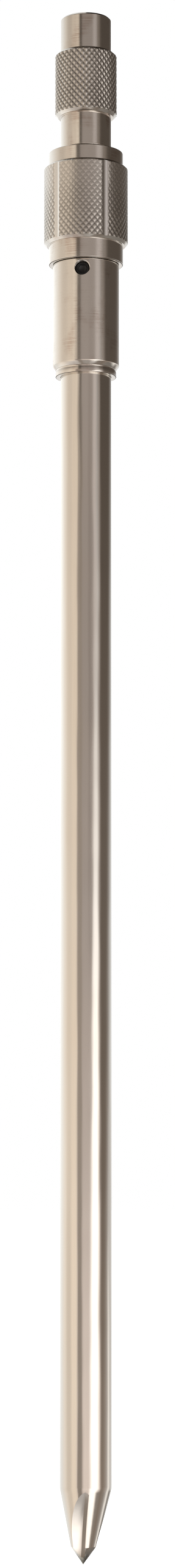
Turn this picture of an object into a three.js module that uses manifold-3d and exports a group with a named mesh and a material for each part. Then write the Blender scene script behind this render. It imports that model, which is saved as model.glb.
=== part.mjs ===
// Telescopic bank stick in stainless steel, closed, standing point down.
// Millimetres, +Z up. The tube's axis is the Z axis and the point's end is at height zero.
// Directions round the stick are angles from -Y, the front, towards +X.

import * as THREE from "three";
import { mergeVertices } from "three/addons/utils/BufferGeometryUtils.js";
import Module from "manifold-3d";

const wasm = await Module();
wasm.setup();

// Roundness of turned surfaces and of small holes
const TURNED_SIDES = 48;
const SMALL_SIDES = 24;
const WHEEL_SIDES = 90;
const SEAL_SIDES = 10;

// Running and seating clearances, each on the radius or on one face
const PRESS_CLEARANCE = 0.05;
const SLIDE_CLEARANCE = 0.1;
const THREAD_CLEARANCE = 0.2;
const FACE_CLEARANCE = 0.1;
const SEAT_CLEARANCE = 0.15;

// How far a cutting shape runs past the surface it cuts
const OVERRUN = 2.0;

// Outer tube: 5/8 inch class stainless tube
const TUBE_OD = 16.0;
const TUBE_WALL = 1.2;
const TUBE_SHOW_HEIGHT = 346.0;

// Drive tip: short steep cone, long taper, then a spigot inside the tube
const TIP_CONE_HEIGHT = 5.4;
const TIP_CONE_RADIUS = 4.0;
const TIP_TAPER_HEIGHT = 18.4;
const TIP_SPIGOT_HEIGHT = 18.0;
const TIP_SPIGOT_CHAMFER = 0.6;
const TIP_RUNOUT = 0.85;

// Flutes of the tip, each ground by the edge of a large wheel
const TIP_FLUTE_COUNT = 3;
const TIP_FLUTE_DEG = 6.0;
const TIP_FLUTE_OFFSET = 0.88;
const TIP_FLUTE_CORE = 1.6;
const TIP_FLUTE_LOWEST = 0.6;
const GRINDING_WHEEL_RADIUS = 42.0;
const GRINDING_WHEEL_WIDTH = 10.0;
const GRINDING_WHEEL_FLAT = 2.0;
const GRINDING_WHEEL_CROWN_DEG = 12.0;
const GRINDING_WHEEL_BEVEL = 1.1;
const GRINDING_WHEEL_BEVEL_DEG = 16.0;
const GRINDING_WHEEL_HOLLOW_DEG = 7.0;

// Lock sleeve over the tube's top end
const SLEEVE_WALL = 2.5;
const SLEEVE_HEIGHT = 32.6;
const SLEEVE_CONE_HEIGHT = 1.2;
const SLEEVE_GROOVE_HEIGHT = 0.7;
const SLEEVE_GROOVE_DEPTH = 0.3;
const SLEEVE_LIP_HEIGHT = 1.6;
const SLEEVE_LIP_WALL = 1.6;
const SLEEVE_EDGE = 0.3;
const SLEEVE_ROOF = 0.6;
const SPIGOT_WALL = 2.0;
const SEAT_HEIGHT = 6.4;
const SEAT_RIM = 0.9;

// Grub screw that pins the sleeve to the tube
const SCREW_OD = 5.0;
const SCREW_EDGE = 0.5;
const SCREW_DEG = -7.0;
const SCREW_RECESS = 0.7;
const SCREW_END_GAP = 0.3;
const SCREW_CHAMFER = 0.4;
const SCREW_SINK = 0.15;
const SCREW_DIMPLE = 0.6;
const HEX_ACROSS_FLATS = 2.5;
const HEX_DEPTH = 1.5;

// Guide bush between the tube's end and the sleeve's inner lip
const BUSH_HEIGHT = 12.0;
const BUSH_SEAT = 0.7;
const BUSH_LIP = 0.7;
const BUSH_ROOF = 2.2;

// Collar that turns on the sleeve's spigot
const SEAM_GAP = 0.4;
const COLLAR_WALL = 2.05;
const FOOT_HEIGHT = 5.9;
const FOOT_CHAMFER = 0.2;
const GRIP_HEIGHT = 25.6;
const GRIP_RISE = 1.55;
const GRIP_CHAMFER = 0.9;
const NOSE_HEIGHT = 4.5;
const NOSE_EDGE = 0.15;
const NOSE_ROOF = 8.1;
const NOSE_GAP = 0.4;
const MOUTH_CHAMFER = 0.5;
const GRIP_FLUTE_COUNT = 5;
const GRIP_FLUTE_DEG = 27.6;
const GRIP_FLUTE_RADIUS = 3.5;
const GRIP_FLUTE_DEPTH = 0.27;

// Collet, its thrust washer and the ring seal in the collar's nose
const COLLET_FOOT_GAP = 0.6;
const COLLET_FLANGE_GAP = 0.5;
const COLLET_RIM = 0.3;
const COLLET_SLOT = 1.2;
const COLLET_SLOT_ROOF = 2.0;
const WASHER_THICKNESS = 1.0;
const WASHER_RIM = 0.2;
const WASHER_BORE_GAP = 0.6;
const SEAL_SECTION = 2.0;
const SEAL_CENTRE_DROP = 4.0;
const SEAL_SIDE_GAP = 0.3;

// Inner stage: tube, foot plug and glide ring
const STAGE_GAP = 0.8;
const INNER_WALL = 1.0;
const PLUG_BOTTOM_GAP = 0.3;
const PLUG_NOSE_HEIGHT = 8.0;
const PLUG_GROOVE_HEIGHT = 24.0;
const PLUG_GROOVE_DEPTH = 0.8;
const PLUG_FLANGE_HEIGHT = 2.0;
const PLUG_SPIGOT_HEIGHT = 15.0;
const PLUG_CHAMFER = 0.8;
const GLIDE_SLIT = 1.0;
const GLIDE_CHAMFER = 0.3;

// Head on the inner tube, with the threaded socket for an alarm or a rest
const HEAD_GAP = 1.0;
const NECK_WALL = 2.0;
const NECK_HEIGHT = 10.8;
const NECK_CHAMFER = 0.3;
const BAND_HEIGHT = 20.9;
const BAND_RISE = 1.8;
const BAND_CHAMFER = 1.0;
const CROWN_HEIGHT = 11.5;
const CROWN_CHAMFER = 0.6;
const HEAD_TUBE_CONE = 1.5;
const HEAD_WEB = 3.0;
const SOCKET_BORE = 8.3;
const SOCKET_DEPTH = 18.0;
const SOCKET_CONE = 2.0;
const SOCKET_CHAMFER = 1.0;

// Heights worked out from the point upwards
const tipTop = TIP_CONE_HEIGHT + TIP_TAPER_HEIGHT;
const tipSpigotTop = tipTop + TIP_SPIGOT_HEIGHT;
const lipBottom = tipTop + TUBE_SHOW_HEIGHT;
const grooveBottom = lipBottom + SLEEVE_LIP_HEIGHT;
const grooveTop = grooveBottom + SLEEVE_GROOVE_HEIGHT;
const sleeveConeTop = grooveTop + SLEEVE_CONE_HEIGHT;
const sleeveTop = sleeveConeTop + SLEEVE_HEIGHT;
const tubeTop = sleeveTop - SLEEVE_ROOF;
const bushTop = tubeTop + BUSH_HEIGHT;
const seatBottom = bushTop + BUSH_ROOF;
const spigotTop = seatBottom + SEAT_HEIGHT;
const collarBottom = sleeveTop + SEAM_GAP;
const gripBottom = collarBottom + FOOT_HEIGHT;
const gripTop = gripBottom + GRIP_HEIGHT;
const noseTop = gripTop + NOSE_HEIGHT;
const collarShoulder = noseTop - NOSE_ROOF;
const washerTop = collarShoulder - FACE_CLEARANCE;
const washerBottom = washerTop - WASHER_THICKNESS;
const colletTop = washerBottom - FACE_CLEARANCE;
const neckBottom = noseTop + HEAD_GAP;
const neckTop = neckBottom + NECK_HEIGHT;
const bandTop = neckTop + BAND_HEIGHT;
const crownTop = bandTop + CROWN_HEIGHT;
const plugBottom = tipSpigotTop + PLUG_BOTTOM_GAP;
const plugGrooveBottom = plugBottom + PLUG_NOSE_HEIGHT;
const plugGrooveTop = plugGrooveBottom + PLUG_GROOVE_HEIGHT;
const innerTubeBottom = plugGrooveTop + PLUG_FLANGE_HEIGHT;
const socketFloor = crownTop - SOCKET_DEPTH;
const innerTubeTop = socketFloor - SOCKET_CONE - HEAD_WEB - HEAD_TUBE_CONE;

// Radii worked out from the tubes outwards and inwards
const tubeRadius = TUBE_OD / 2;
const tubeBoreRadius = tubeRadius - TUBE_WALL;
const innerRadius = tubeBoreRadius - STAGE_GAP;
const innerBoreRadius = innerRadius - INNER_WALL;
const sleeveRadius = tubeRadius + SLEEVE_WALL;
const sleeveLipRadius = tubeRadius + SLEEVE_LIP_WALL;
const bushRadius = tubeBoreRadius + BUSH_SEAT;
const threadRadius = bushRadius + SPIGOT_WALL;
const collarBoreRadius = threadRadius + THREAD_CLEARANCE;
const collarRadius = collarBoreRadius + COLLAR_WALL;
const gripRadius = collarRadius + GRIP_RISE;
const seatTopRadius = threadRadius - SEAT_RIM;
const seatBottomRadius = bushRadius - BUSH_LIP;
const noseBoreRadius = innerRadius + NOSE_GAP;
const neckRadius = innerRadius + NECK_WALL;
const bandRadius = neckRadius + BAND_RISE;
const screwRadius = SCREW_OD / 2;
const screwHeight = sleeveTop - SCREW_EDGE - screwRadius;

// Finishes
const STEEL_COLOUR = 0xbab1a6;
const BRIGHT_STEEL_COLOUR = 0xcfc8be;
const BLACK_STEEL_COLOUR = 0x1f1d1c;
const ACETAL_COLOUR = 0xe6e2d8;
const BLACK_ACETAL_COLOUR = 0x232324;
const RUBBER_COLOUR = 0x161616;

function finish(color, roughness, metalness) {
  return new THREE.MeshStandardMaterial({ color, roughness, metalness });
}

const steel = () => finish(STEEL_COLOUR, 0.28, 1.0);
const brightSteel = () => finish(BRIGHT_STEEL_COLOUR, 0.18, 1.0);
const blackSteel = () => finish(BLACK_STEEL_COLOUR, 0.45, 0.8);
const acetal = () => finish(ACETAL_COLOUR, 0.5, 0.0);
const blackAcetal = () => finish(BLACK_ACETAL_COLOUR, 0.5, 0.0);
const rubber = () => finish(RUBBER_COLOUR, 0.8, 0.0);

// A closed mesh as a solid: vertices merged, triangles that collapsed dropped
function solidOf(geometry) {
  const bare = geometry.clone();
  bare.deleteAttribute("normal");
  bare.deleteAttribute("uv");
  const merged = mergeVertices(bare);
  const index = merged.index.array;
  const kept = [];
  for (let i = 0; i < index.length; i += 3) {
    const [a, b, c] = [index[i], index[i + 1], index[i + 2]];
    if (a !== b && b !== c && c !== a) {
      kept.push(a, b, c);
    }
  }
  const mesh = new wasm.Mesh({
    numProp: 3,
    vertProperties: new Float32Array(merged.attributes.position.array),
    triVerts: new Uint32Array(kept),
  });
  return new wasm.Manifold(mesh);
}

function geometryOf(solid) {
  const mesh = solid.getMesh();
  const geometry = new THREE.BufferGeometry();
  geometry.setAttribute("position", new THREE.BufferAttribute(mesh.vertProperties, mesh.numProp));
  geometry.setIndex(new THREE.BufferAttribute(mesh.triVerts, 1));
  geometry.computeVertexNormals();
  return geometry;
}

// A turned piece from its outline, [radius, height] points that run up the outside
function turned(outline, closed = true) {
  const points = outline.map(([radius, height]) => new THREE.Vector2(radius, height));
  if (closed) {
    points.push(points[0].clone());
  }
  const geometry = new THREE.LatheGeometry(points, TURNED_SIDES);
  return solidOf(geometry.rotateX(Math.PI / 2));
}

function radians(degrees) {
  return THREE.MathUtils.degToRad(degrees);
}

// Turns a geometry made at the front, towards -Y, to a direction round the stick
function facing(geometry, degrees) {
  return geometry.rotateZ(radians(degrees));
}

// A round bar along the front direction, between two distances from the axis
function radialBar(radius, inner, outer, height, degrees, sides = SMALL_SIDES) {
  const bar = new THREE.CylinderGeometry(radius, radius, outer - inner, sides);
  bar.translate(0, -(inner + outer) / 2, height);
  return solidOf(facing(bar, degrees));
}

// A cone along the front direction: one radius nearer the axis, another further out
function radialCone(innerEnd, outerEnd, height, degrees) {
  const [innerRadiusAt, inner] = innerEnd;
  const [outerRadiusAt, outer] = outerEnd;
  const cone = new THREE.CylinderGeometry(innerRadiusAt, outerRadiusAt, outer - inner, SMALL_SIDES);
  cone.translate(0, -(inner + outer) / 2, height);
  return solidOf(facing(cone, degrees));
}

function outerTube() {
  const tube = turned([
    [tubeBoreRadius, tipTop],
    [tubeRadius, tipTop],
    [tubeRadius, tubeTop],
    [tubeBoreRadius, tubeTop],
  ]);
  const dimple = radialBar(
    screwRadius + SLIDE_CLEARANCE,
    tubeRadius - SCREW_DIMPLE,
    tubeRadius + OVERRUN,
    screwHeight,
    SCREW_DEG,
  );
  return tube.subtract(dimple);
}

// The grinding wheel: a flat strip beside its edge, a face that falls away beyond it, and a
// bevel on the edge, past which its hollow side leaves the flute a steep wall
function grindingWheel() {
  const crownWidth = GRINDING_WHEEL_WIDTH - GRINDING_WHEEL_FLAT;
  const crown = crownWidth * Math.tan(radians(GRINDING_WHEEL_CROWN_DEG));
  const bevel = GRINDING_WHEEL_BEVEL * Math.tan(radians(GRINDING_WHEEL_BEVEL_DEG));
  const hubRadius = GRINDING_WHEEL_RADIUS - GRINDING_WHEEL_WIDTH;
  const hollow = GRINDING_WHEEL_WIDTH * Math.tan(radians(GRINDING_WHEEL_HOLLOW_DEG));
  const wheel = new THREE.LatheGeometry(
    [
      [hubRadius, -GRINDING_WHEEL_WIDTH],
      [GRINDING_WHEEL_RADIUS - crown, -GRINDING_WHEEL_WIDTH],
      [GRINDING_WHEEL_RADIUS, -GRINDING_WHEEL_FLAT],
      [GRINDING_WHEEL_RADIUS, 0],
      [GRINDING_WHEEL_RADIUS - bevel, GRINDING_WHEEL_BEVEL],
      [hubRadius, GRINDING_WHEEL_BEVEL - hollow],
      [hubRadius, -GRINDING_WHEEL_WIDTH],
    ].map(([radius, along]) => new THREE.Vector2(radius, along)),
    WHEEL_SIDES,
  );
  // The wheel's own axis lies along X, with its floor side towards -X
  wheel.rotateZ(-Math.PI / 2);
  wheel.translate(
    -TIP_FLUTE_OFFSET,
    -(TIP_FLUTE_CORE + GRINDING_WHEEL_RADIUS),
    TIP_FLUTE_LOWEST,
  );
  return wheel;
}

function driveTip() {
  const spigotRadius = tubeBoreRadius - PRESS_CLEARANCE;
  let tip = turned(
    [
      [0, 0],
      [TIP_CONE_RADIUS, TIP_CONE_HEIGHT],
      [tubeRadius, tipTop],
      [spigotRadius, tipTop],
      [spigotRadius, tipSpigotTop - TIP_SPIGOT_CHAMFER],
      [spigotRadius - TIP_SPIGOT_CHAMFER, tipSpigotTop],
      [0, tipSpigotTop],
    ],
    false,
  );
  const wheel = grindingWheel();
  for (let i = 0; i < TIP_FLUTE_COUNT; i += 1) {
    const turn = TIP_FLUTE_DEG + (360 * i) / TIP_FLUTE_COUNT;
    tip = tip.subtract(solidOf(facing(wheel.clone(), turn)));
  }
  // The point is ground slightly off the tube's axis, more so towards its end
  const geometry = geometryOf(tip);
  const position = geometry.attributes.position;
  for (let i = 0; i < position.count; i += 1) {
    const below = Math.max(0, tipTop - position.getZ(i)) / tipTop;
    position.setX(i, position.getX(i) - TIP_RUNOUT * below);
  }
  return geometry;
}

function lockSleeve() {
  const boreRadius = tubeRadius + PRESS_CLEARANCE;
  const grooveRadius = sleeveLipRadius - SLEEVE_GROOVE_DEPTH;
  const bushSeatRadius = bushRadius + PRESS_CLEARANCE;
  const sleeve = turned([
    [boreRadius, lipBottom],
    [sleeveLipRadius - SLEEVE_EDGE, lipBottom],
    [sleeveLipRadius, lipBottom + SLEEVE_EDGE],
    [sleeveLipRadius, grooveBottom],
    [grooveRadius, grooveBottom],
    [grooveRadius, grooveTop],
    [sleeveLipRadius, grooveTop],
    [sleeveRadius, sleeveConeTop],
    [sleeveRadius, sleeveTop - SLEEVE_EDGE],
    [sleeveRadius - SLEEVE_EDGE, sleeveTop],
    [threadRadius, sleeveTop],
    [threadRadius, spigotTop - SLEEVE_EDGE],
    [threadRadius - SLEEVE_EDGE, spigotTop],
    [seatTopRadius, spigotTop],
    [seatBottomRadius, seatBottom],
    [seatBottomRadius, bushTop],
    [bushSeatRadius, bushTop],
    [bushSeatRadius, tubeTop],
    [boreRadius, tubeTop],
  ]);
  const holeRadius = screwRadius + SLIDE_CLEARANCE;
  const hole = radialBar(
    holeRadius,
    tubeRadius - OVERRUN,
    sleeveRadius + OVERRUN,
    screwHeight,
    SCREW_DEG,
  );
  const sink = radialCone(
    [holeRadius, sleeveRadius - SCREW_SINK],
    [holeRadius + SCREW_SINK + OVERRUN, sleeveRadius + OVERRUN],
    screwHeight,
    SCREW_DEG,
  );
  // Both shapes start inside the bore or the wall, so only the front wall is drilled
  return sleeve.subtract(hole).subtract(sink);
}

function sleeveGrubScrew() {
  const inner = tubeRadius - SCREW_DIMPLE + SCREW_END_GAP;
  const outer = sleeveRadius - SCREW_RECESS;
  const outline = [
    [0, 0],
    [screwRadius - SCREW_CHAMFER, 0],
    [screwRadius, SCREW_CHAMFER],
    [screwRadius, outer - inner - SCREW_CHAMFER],
    [screwRadius - SCREW_CHAMFER, outer - inner],
    [0, outer - inner],
  ].map(([radius, along]) => new THREE.Vector2(radius, along));
  const body = new THREE.LatheGeometry(outline, SMALL_SIDES);
  const hexRadius = HEX_ACROSS_FLATS / 2 / Math.cos(Math.PI / 6);
  const hex = new THREE.CylinderGeometry(hexRadius, hexRadius, HEX_DEPTH + OVERRUN, 6);
  hex.translate(0, outer - inner - HEX_DEPTH + (HEX_DEPTH + OVERRUN) / 2, 0);
  // Both are made standing along +Y, then laid towards the front and set in the wall
  const placed = [body, hex].map((geometry) => {
    geometry.rotateX(Math.PI);
    geometry.translate(0, -inner, screwHeight);
    return solidOf(facing(geometry, SCREW_DEG));
  });
  return placed[0].subtract(placed[1]);
}

function guideBush() {
  const boreRadius = innerRadius + SLIDE_CLEARANCE;
  return turned([
    [boreRadius, tubeTop],
    [bushRadius, tubeTop],
    [bushRadius, bushTop - FACE_CLEARANCE],
    [boreRadius, bushTop - FACE_CLEARANCE],
  ]);
}

function clampCollet() {
  const boreRadius = innerRadius + SLIDE_CLEARANCE;
  const bottom = seatBottom + COLLET_FOOT_GAP;
  const seatRise = (seatTopRadius - seatBottomRadius) / SEAT_HEIGHT;
  const footRadius = seatBottomRadius + COLLET_FOOT_GAP * seatRise - SEAT_CLEARANCE;
  const coneRadius = seatTopRadius - SEAT_CLEARANCE;
  const flangeRadius = collarBoreRadius - COLLET_RIM;
  const flangeBottom = spigotTop + COLLET_FLANGE_GAP;
  let collet = turned([
    [boreRadius, bottom],
    [footRadius, bottom],
    [coneRadius, spigotTop],
    [coneRadius, flangeBottom],
    [flangeRadius, flangeBottom],
    [flangeRadius, colletTop],
    [boreRadius, colletTop],
  ]);
  const slotTop = colletTop - COLLET_SLOT_ROOF;
  const slotHeight = slotTop - bottom + OVERRUN;
  for (const degrees of [0, 90]) {
    const slot = new THREE.BoxGeometry(collarBoreRadius * 2, COLLET_SLOT, slotHeight);
    slot.translate(0, 0, slotTop - slotHeight / 2);
    collet = collet.subtract(solidOf(facing(slot, degrees)));
  }
  return collet;
}

function thrustWasher() {
  const boreRadius = innerRadius + WASHER_BORE_GAP;
  const rimRadius = collarBoreRadius - WASHER_RIM;
  return turned([
    [boreRadius, washerBottom],
    [rimRadius, washerBottom],
    [rimRadius, washerTop],
    [boreRadius, washerTop],
  ]);
}

function sealHeight() {
  return noseTop - SEAL_CENTRE_DROP;
}

function lockCollar() {
  const sealGrooveRadius = innerRadius + SLIDE_CLEARANCE + SEAL_SECTION + SLIDE_CLEARANCE;
  const sealGrooveHalf = SEAL_SECTION / 2 + SEAL_SIDE_GAP;
  let collar = turned([
    [collarBoreRadius, collarBottom],
    [collarRadius - FOOT_CHAMFER, collarBottom],
    [collarRadius, collarBottom + FOOT_CHAMFER],
    [collarRadius, gripBottom],
    [gripRadius - GRIP_CHAMFER, gripBottom],
    [gripRadius, gripBottom + GRIP_CHAMFER],
    [gripRadius, gripTop - GRIP_CHAMFER],
    [gripRadius - GRIP_CHAMFER, gripTop],
    [collarRadius, gripTop],
    [collarRadius, noseTop - NOSE_EDGE],
    [collarRadius - NOSE_EDGE, noseTop],
    [noseBoreRadius + MOUTH_CHAMFER, noseTop],
    [noseBoreRadius, noseTop - MOUTH_CHAMFER],
    [noseBoreRadius, sealHeight() + sealGrooveHalf],
    [sealGrooveRadius, sealHeight() + sealGrooveHalf],
    [sealGrooveRadius, sealHeight() - sealGrooveHalf],
    [noseBoreRadius, sealHeight() - sealGrooveHalf],
    [noseBoreRadius, collarShoulder],
    [collarBoreRadius, collarShoulder],
  ]);
  const cutterAt = gripRadius - GRIP_FLUTE_DEPTH + GRIP_FLUTE_RADIUS;
  for (let i = 0; i < GRIP_FLUTE_COUNT; i += 1) {
    const cutter = new THREE.CylinderGeometry(
      GRIP_FLUTE_RADIUS,
      GRIP_FLUTE_RADIUS,
      GRIP_HEIGHT + OVERRUN,
      TURNED_SIDES,
    );
    cutter.rotateX(Math.PI / 2);
    cutter.translate(0, -cutterAt, (gripBottom + gripTop) / 2);
    const turn = GRIP_FLUTE_DEG + (360 * i) / GRIP_FLUTE_COUNT;
    collar = collar.subtract(solidOf(facing(cutter, turn)));
  }
  return collar;
}

// The ring seal: a round section turned about the stick's axis
function wiperRing() {
  const section = SEAL_SECTION / 2;
  const centre = innerRadius + SLIDE_CLEARANCE + section;
  const outline = [];
  for (let i = 0; i < SEAL_SIDES; i += 1) {
    const turn = (2 * Math.PI * i) / SEAL_SIDES;
    outline.push([centre + section * Math.cos(turn), sealHeight() + section * Math.sin(turn)]);
  }
  return turned(outline);
}

function innerTube() {
  return turned([
    [innerBoreRadius, innerTubeBottom],
    [innerRadius, innerTubeBottom],
    [innerRadius, innerTubeTop],
    [innerBoreRadius, innerTubeTop],
  ]);
}

function footPlug() {
  const grooveRadius = innerRadius - PLUG_GROOVE_DEPTH;
  const spigotRadius = innerBoreRadius - PRESS_CLEARANCE;
  const spigotEnd = innerTubeBottom + PLUG_SPIGOT_HEIGHT;
  return turned(
    [
      [0, plugBottom],
      [innerRadius - PLUG_CHAMFER, plugBottom],
      [innerRadius, plugBottom + PLUG_CHAMFER],
      [innerRadius, plugGrooveBottom],
      [grooveRadius, plugGrooveBottom],
      [grooveRadius, plugGrooveTop],
      [innerRadius, plugGrooveTop],
      [innerRadius, innerTubeBottom],
      [spigotRadius, innerTubeBottom],
      [spigotRadius, spigotEnd - PLUG_CHAMFER],
      [spigotRadius - PLUG_CHAMFER, spigotEnd],
      [0, spigotEnd],
    ],
    false,
  );
}

// A split ring that centres the inner stage and catches on the guide bush when drawn out
function glideRing() {
  const boreRadius = innerRadius - PLUG_GROOVE_DEPTH + SLIDE_CLEARANCE;
  const ringRadius = tubeBoreRadius - SLIDE_CLEARANCE;
  const bottom = plugGrooveBottom + FACE_CLEARANCE;
  const top = plugGrooveTop - FACE_CLEARANCE;
  const ring = turned([
    [boreRadius, bottom],
    [ringRadius - GLIDE_CHAMFER, bottom],
    [ringRadius, bottom + GLIDE_CHAMFER],
    [ringRadius, top - GLIDE_CHAMFER],
    [ringRadius - GLIDE_CHAMFER, top],
    [boreRadius, top],
  ]);
  const slit = new THREE.BoxGeometry(GLIDE_SLIT, TUBE_OD, PLUG_GROOVE_HEIGHT + OVERRUN);
  slit.translate(0, TUBE_OD / 2, (bottom + top) / 2);
  return ring.subtract(solidOf(slit));
}

function stageHead() {
  const tubeSocketRadius = innerRadius + PRESS_CLEARANCE;
  const socketRadius = SOCKET_BORE / 2;
  return turned(
    [
      [0, innerTubeTop + HEAD_TUBE_CONE],
      [tubeSocketRadius, innerTubeTop],
      [tubeSocketRadius, neckBottom],
      [neckRadius - NECK_CHAMFER, neckBottom],
      [neckRadius, neckBottom + NECK_CHAMFER],
      [neckRadius, neckTop],
      [bandRadius - BAND_CHAMFER, neckTop],
      [bandRadius, neckTop + BAND_CHAMFER],
      [bandRadius, bandTop - BAND_CHAMFER],
      [bandRadius - BAND_CHAMFER, bandTop],
      [neckRadius, bandTop],
      [neckRadius, crownTop - CROWN_CHAMFER],
      [neckRadius - CROWN_CHAMFER, crownTop],
      [socketRadius + SOCKET_CHAMFER, crownTop],
      [socketRadius, crownTop - SOCKET_CHAMFER],
      [socketRadius, socketFloor],
      [0, socketFloor - SOCKET_CONE],
    ],
    false,
  );
}

function named(name, shape, material) {
  const geometry = shape instanceof THREE.BufferGeometry ? shape : geometryOf(shape);
  const mesh = new THREE.Mesh(geometry, material);
  mesh.name = name;
  return mesh;
}

const outerStage = new THREE.Group();
outerStage.add(
  named("drive_tip", driveTip(), steel()),
  named("outer_tube", outerTube(), steel()),
  named("lock_sleeve", lockSleeve(), steel()),
  named("sleeve_grub_screw", sleeveGrubScrew(), blackSteel()),
  named("guide_bush", guideBush(), acetal()),
);

const clamp = new THREE.Group();
clamp.add(
  named("clamp_collet", clampCollet(), acetal()),
  named("thrust_washer", thrustWasher(), brightSteel()),
  named("lock_collar", lockCollar(), steel()),
  named("wiper_ring", wiperRing(), rubber()),
);

const innerStage = new THREE.Group();
innerStage.add(
  named("inner_tube", innerTube(), brightSteel()),
  named("foot_plug", footPlug(), blackAcetal()),
  named("glide_ring", glideRing(), acetal()),
  named("stage_head", stageHead(), steel()),
);

const bankStick = new THREE.Group();
bankStick.add(outerStage, clamp, innerStage);

export default bankStick;
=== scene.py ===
"""A telescopic bank stick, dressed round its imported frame. Laid out as an add-on, run as a script.

Blender works in metres, +Z up the stick, -Y the front. The stick's own sizes, in capitals,
and the (radius, height) points of an outline are in millimetres, which MM brings to metres.
"""

import math

import bmesh
import bpy
from bpy.props import FloatProperty, FloatVectorProperty, IntProperty, PointerProperty
from mathutils import Matrix, Vector


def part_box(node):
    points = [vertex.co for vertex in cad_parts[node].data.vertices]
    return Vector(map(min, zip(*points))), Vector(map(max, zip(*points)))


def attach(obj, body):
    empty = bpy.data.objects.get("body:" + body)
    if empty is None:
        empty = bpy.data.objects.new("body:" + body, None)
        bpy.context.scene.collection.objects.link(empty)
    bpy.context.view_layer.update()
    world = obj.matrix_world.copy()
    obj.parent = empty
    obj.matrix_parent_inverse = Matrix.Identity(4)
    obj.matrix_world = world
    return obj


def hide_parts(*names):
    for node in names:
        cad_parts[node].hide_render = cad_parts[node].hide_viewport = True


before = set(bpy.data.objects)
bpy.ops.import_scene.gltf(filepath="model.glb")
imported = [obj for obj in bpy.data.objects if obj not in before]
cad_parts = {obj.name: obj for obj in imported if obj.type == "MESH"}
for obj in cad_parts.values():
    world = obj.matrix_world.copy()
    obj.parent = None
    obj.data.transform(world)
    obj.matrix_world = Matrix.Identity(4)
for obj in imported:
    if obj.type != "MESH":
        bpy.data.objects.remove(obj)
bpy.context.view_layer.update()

bl_info = {
    "name": "Bank stick",
    "version": (1, 0, 0),
    "blender": (4, 5, 0),
    "location": "3D View > Sidebar > Bank stick",
    "description": "Builds a telescopic stainless bank stick and its photo stage",
    "category": "Object",
}

MM = 0.001
WELD = 1e-7  # Points closer than this, in metres, are one
FULL_TURN = 2 * math.pi
OVERRUN = 1.0  # How far a cutter reaches past what it cuts
SHARP_DEG = 32
FLUTE_SHARP_DEG = 15
FACE_WEIGHT = 90
FACE_MARGIN = 0.01
FLAT_FACE = 0.5

# How far an edge is rounded, as the third value of an outline's point
SHARP, KEEN, CRISP, CLEAN, BROKEN, SOFT = 0, 0.05, 0.08, 0.12, 0.15, 0.2


def span(node):
    """Bottom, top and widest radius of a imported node, in millimetres."""
    low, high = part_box(node)
    return low.z / MM, high.z / MM, high.x / MM


# Outer stage
TUBE_BOTTOM, TUBE_TOP, TUBE_RADIUS = span("outer_tube")
TUBE_BORE = 6.8
_, POINT_TOP, _ = span("drive_tip")
POINT_CONE_HEIGHT = 5.4
POINT_CONE_RADIUS = 4.0
POINT_SHOULDER = 0.8
POINT_SHOULDER_ROUND = 0.7
POINT_SPIGOT = TUBE_BORE - 0.05
POINT_CHAMFER = 0.6
POINT_RUNOUT = 0.85  # How far the leaning point's end stands off the axis
FLUTE_COUNT = 3
FLUTE_TURN_DEG = 6.0
FLUTE_OFFSET = 0.88
FLUTE_CORE = 1.6
FLUTE_LOWEST = 0.6
# The wheel that grinds the flutes has a crown, a flat, a bevel and a hollow face
WHEEL_RADIUS = 42.0
WHEEL_WIDTH = 10.0
WHEEL_FLAT = 2.0
WHEEL_CROWN_DEG = 12.0
WHEEL_CROWN_ROUND = 1.9
WHEEL_BEVEL = 1.1
WHEEL_BEVEL_DEG = 16.0
WHEEL_HOLLOW_DEG = 7.0
WHEEL_SIDES = 360
WHEEL_CROWN_STEPS = 8
SLEEVE_BOTTOM, SPIGOT_TOP, SLEEVE_RADIUS = span("lock_sleeve")
SLEEVE_BORE = 8.05
SLEEVE_BORE_ROUND = 0.1
SLEEVE_SHOULDER = 405.9
LIP_RADIUS = 9.6
GROOVE_RADIUS = 9.4
GROOVE_BOTTOM = 371.4
GROOVE_TOP = 372.1
SLEEVE_CONE_TOP = 373.3
SPIGOT_RADIUS = 9.5
SPIGOT_CHAMFER = 0.3
SEAT_BOTTOM = 419.5
SEAT_RADIUS = 6.8
SEAT_RIM = 8.6
BUSH_SEAT = 7.55
BUSH_ROOM = span("guide_bush")[1] + 0.1
SCREW_BOTTOM, SCREW_TOP, _ = span("sleeve_grub_screw")
SCREW_HEIGHT = (SCREW_BOTTOM + SCREW_TOP) / 2
SCREW_DEG = -7.0
SCREW_RADIUS = 2.3
SCREW_HOLE = 2.4
SCREW_DIMPLE = 0.6
SCREW_PITCH = 0.8
SCREW_INNER = 7.5
SCREW_OUTER = 9.0
SCREW_POINT = 0.5
SCREW_CHAMFER = 0.4
SCREW_SIDES = 96
DRILL_SIDES = 64
HEX_FLATS = 2.5
HEX_RADIUS = HEX_FLATS / 2 / math.cos(math.pi / 6)
HEX_FLOOR = SCREW_OUTER - 1.0
HEX_FLOOR_RADIUS = 0.8 * HEX_RADIUS
HEX_WALL_BOTTOM = HEX_FLOOR + 0.15
HEX_POINT = HEX_FLOOR - 0.5
MOUTH_BOTTOM = SCREW_OUTER - 0.3
MOUTH_SIDES = 48

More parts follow.
